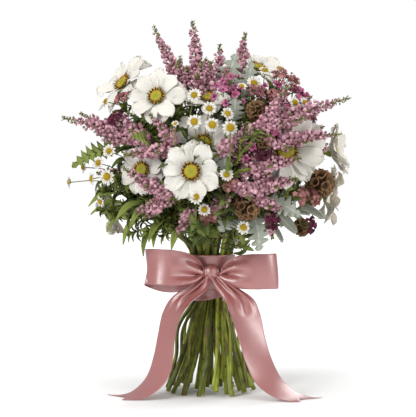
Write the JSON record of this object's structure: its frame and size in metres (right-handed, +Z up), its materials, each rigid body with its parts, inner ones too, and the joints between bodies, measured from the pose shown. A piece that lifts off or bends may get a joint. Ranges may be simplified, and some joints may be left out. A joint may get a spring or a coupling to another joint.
{
  "type": "mixed flower bouquet",
  "caption": "Hand-tied mixed bouquet of daisies, heather, chamomile, seed pods and leaves, with a satin ribbon bow at its binding, standing on its spread stems.",
  "frame": {"origin": "the cut end of the centre stem, on the surface that the bouquet stands on", "axes": "+Z up along the bundle of stems, -Y towards the front with the bow, +X to the right as seen from the front"},
  "size_m": [0.3134, 0.2926, 0.404],
  "materials": {
    "stem": "fresh green cut stems with feathery leaves, faintly ribbed and matt",
    "disc": "packed yellow-green and golden florets, matt",
    "petal": "warm white petals with fine lengthwise veins, soft and matt",
    "heather": "mauve-pink florets on green stems, matt",
    "chamomile": "small white petals round yellow domes, on green stems, matt",
    "wax_flower": "small magenta and pink flowers and buds, slightly waxy",
    "pod": "dry brown seed pods with papery cells, matt",
    "silver_leaf": "silver-grey downy and waxy leaves, matt",
    "leaf": "fresh green leaves, slightly glossy",
    "satin": "dusty-rose satin ribbon with a soft sheen"
  },
  "bodies": {
    "root": {"daisy_stem_front": "stem", "daisy_disc_front": "disc", "daisy_petals_front": "petal", "daisy_disc_front_upper": "disc", "daisy_petals_front_upper": "petal", "daisy_disc_left": "disc", "daisy_petals_left": "petal", "daisy_stem_upper_left": "stem", "daisy_disc_upper_left": "disc", "daisy_petals_upper_left": "petal", "daisy_disc_top_left": "disc", "daisy_petals_top_left": "petal", "daisy_stem_top": "stem", "daisy_disc_top": "disc", "daisy_petals_top": "petal", "daisy_disc_top_right": "disc", "daisy_petals_top_right": "petal", "daisy_stem_right": "stem", "daisy_disc_right": "disc", "daisy_petals_right": "petal", "daisy_disc_right_rear": "disc", "daisy_petals_right_rear": "petal", "daisy_disc_right_low": "disc", "daisy_petals_right_low": "petal", "daisy_stem_left_low": "stem", "daisy_disc_left_low": "disc", "daisy_petals_left_low": "petal", "daisy_disc_back_left": "disc", "daisy_petals_back_left": "petal", "daisy_stem_back": "stem", "daisy_disc_back_top": "disc", "daisy_petals_back_top": "petal", "daisy_disc_back_right": "disc", "daisy_petals_back_right": "petal", "heather_top": "heather", "heather_left": "heather", "heather_left_low": "heather", "heather_right": "heather", "heather_right_low": "heather", "heather_centre": "heather", "heather_back_right": "heather", "heather_back_left": "heather", "chamomile_centre": "chamomile", "chamomile_left": "chamomile", "chamomile_low": "chamomile", "chamomile_top_right": "chamomile", "chamomile_back": "chamomile", "wax_flower_right": "wax_flower", "wax_flower_back": "wax_flower", "seed_pods_front": "pod", "seed_pods_right": "pod", "foliage_silver_right": "silver_leaf", "foliage_silver_top": "silver_leaf", "foliage_green_left": "leaf", "foliage_eucalyptus_right": "silver_leaf", "ribbon_wrap": "satin", "bow_knot_and_tails": "satin", "bow_loop_left": "satin", "bow_loop_right": "satin"}
  },
  "joints": []
}
